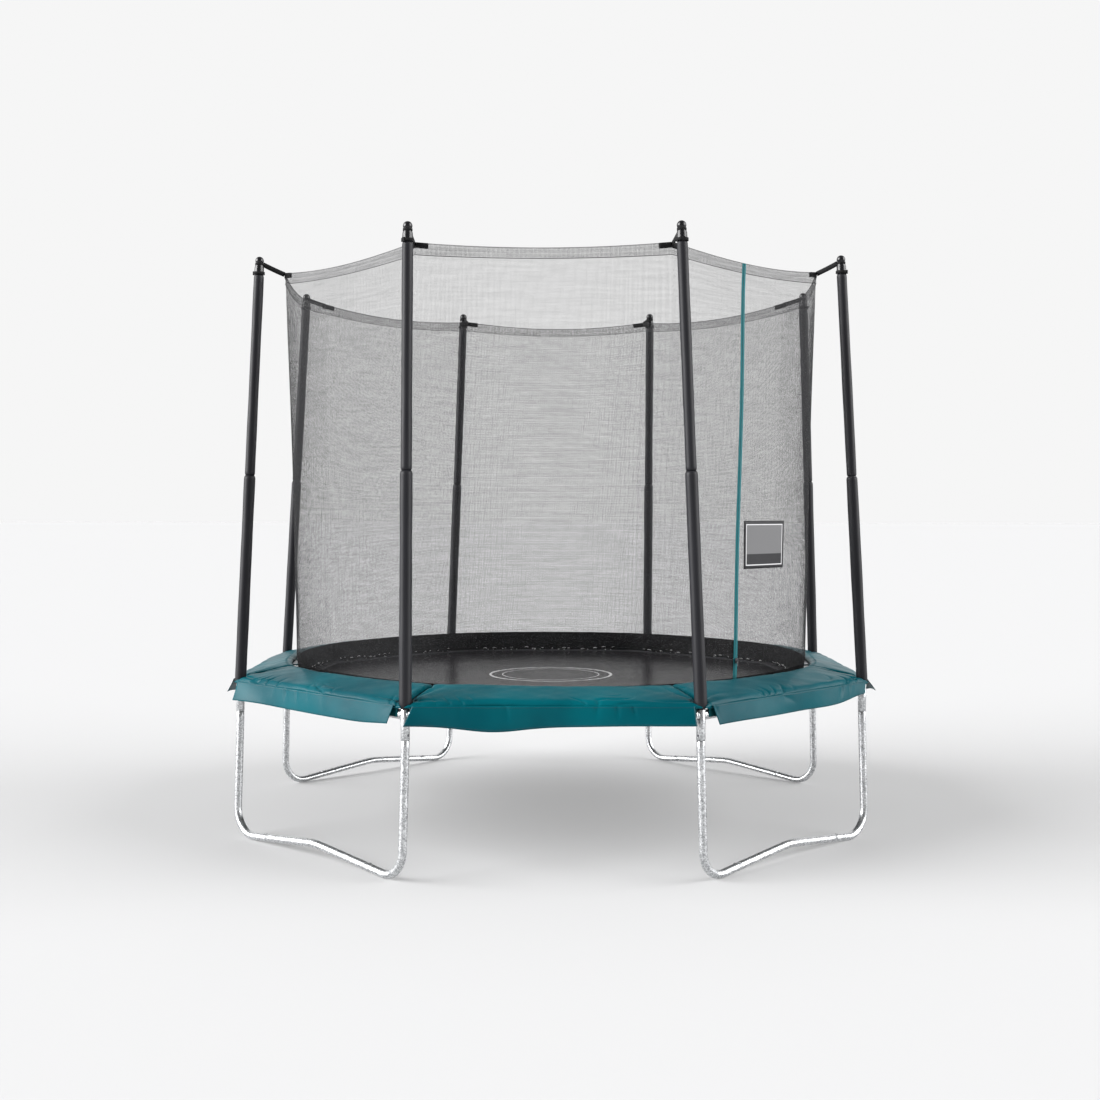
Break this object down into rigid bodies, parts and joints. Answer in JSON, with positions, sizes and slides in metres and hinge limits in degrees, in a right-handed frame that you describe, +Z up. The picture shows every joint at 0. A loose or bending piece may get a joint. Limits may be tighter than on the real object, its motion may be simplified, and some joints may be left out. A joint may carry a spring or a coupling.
{
  "type": "trampoline",
  "caption": "Eight-sided garden trampoline: tubular legs and frame, sprung mat, padded surround and a mesh safety net hung from sleeved poles, with a zipped doorway.",
  "frame": {"origin": "on the ground under the middle of the mat", "axes": "+Z up out of the jumping mat; -Y towards a flat side with no leg under it; +X to that side's right"},
  "size_m": [2.778, 2.778, 2.5129],
  "materials": {
    "galvanised_steel": "hot-dip zinc, mottled, satin",
    "foam_sleeve": "charcoal foam tube in thin vinyl, soft sheen",
    "cap_plastic": "black moulded, glossy",
    "pad_vinyl": "teal coated cloth over foam, semi-gloss",
    "mat_weave": "tight woven plastic yarn, matt",
    "spring_steel": "zinc plated wire",
    "netting": "fine open knit, matt",
    "zip_tape": "woven tape with moulded teeth",
    "zip_metal": "dark enamel",
    "patch_cloth": "plain black sewn cloth"
  },
  "bodies": {
    "frame": {"leg_end_1": "galvanised_steel", "frame_rail_1": "galvanised_steel", "pole_lower_1": "foam_sleeve", "pole_upper_1": "foam_sleeve", "pole_cap_1": "cap_plastic", "pad_1": "pad_vinyl", "leg_end_2": "galvanised_steel", "frame_rail_2": "galvanised_steel", "pole_lower_2": "foam_sleeve", "pole_upper_2": "foam_sleeve", "pole_cap_2": "cap_plastic", "pad_2": "pad_vinyl", "leg_end_3": "galvanised_steel", "frame_rail_3": "galvanised_steel", "pole_lower_3": "foam_sleeve", "pole_upper_3": "foam_sleeve", "pole_cap_3": "cap_plastic", "pad_3": "pad_vinyl", "leg_end_4": "galvanised_steel", "frame_rail_4": "galvanised_steel", "pole_lower_4": "foam_sleeve", "pole_upper_4": "foam_sleeve", "pole_cap_4": "cap_plastic", "pad_4": "pad_vinyl", "leg_end_5": "galvanised_steel", "frame_rail_5": "galvanised_steel", "pole_lower_5": "foam_sleeve", "pole_upper_5": "foam_sleeve", "pole_cap_5": "cap_plastic", "pad_5": "pad_vinyl", "leg_end_6": "galvanised_steel", "frame_rail_6": "galvanised_steel", "pole_lower_6": "foam_sleeve", "pole_upper_6": "foam_sleeve", "pole_cap_6": "cap_plastic", "pad_6": "pad_vinyl", "leg_end_7": "galvanised_steel", "frame_rail_7": "galvanised_steel", "pole_lower_7": "foam_sleeve", "pole_upper_7": "foam_sleeve", "pole_cap_7": "cap_plastic", "pad_7": "pad_vinyl", "leg_end_8": "galvanised_steel", "frame_rail_8": "galvanised_steel", "pole_lower_8": "foam_sleeve", "pole_upper_8": "foam_sleeve", "pole_cap_8": "cap_plastic", "pad_8": "pad_vinyl", "leg_bar_1": "galvanised_steel", "leg_bar_2": "galvanised_steel", "leg_bar_3": "galvanised_steel", "leg_bar_4": "galvanised_steel", "spring_set": "spring_steel", "net": "netting", "zip_tape": "zip_tape", "label_patch": "patch_cloth"},
    "mat": {"mat": "mat_weave"},
    "zip_slider": {"zip_slider": "zip_metal"},
    "zip_pull": {"zip_pull": "zip_metal"}
  },
  "joints": [
    {"name": "mat_bounce", "type": "slide", "parent": "frame", "child": "mat", "axis": [0, 0, 1], "range_m": [-0.25, 0.03], "stiffness_N_per_m": 5000, "deforming": ["spring_set"]},
    {"name": "zip_slide", "type": "slide", "parent": "frame", "child": "zip_slider", "axis": [0.0227, 0.0139, 0.9996], "range_m": [0, 1.55]},
    {"name": "zip_pull_flip", "type": "hinge", "parent": "zip_slider", "child": "zip_pull", "pos_m": [0.7553, -0.93115, 0.80593], "axis": [-0.7069, -0.7069, 0.0259], "range_deg": [0, 150]}
  ]
}
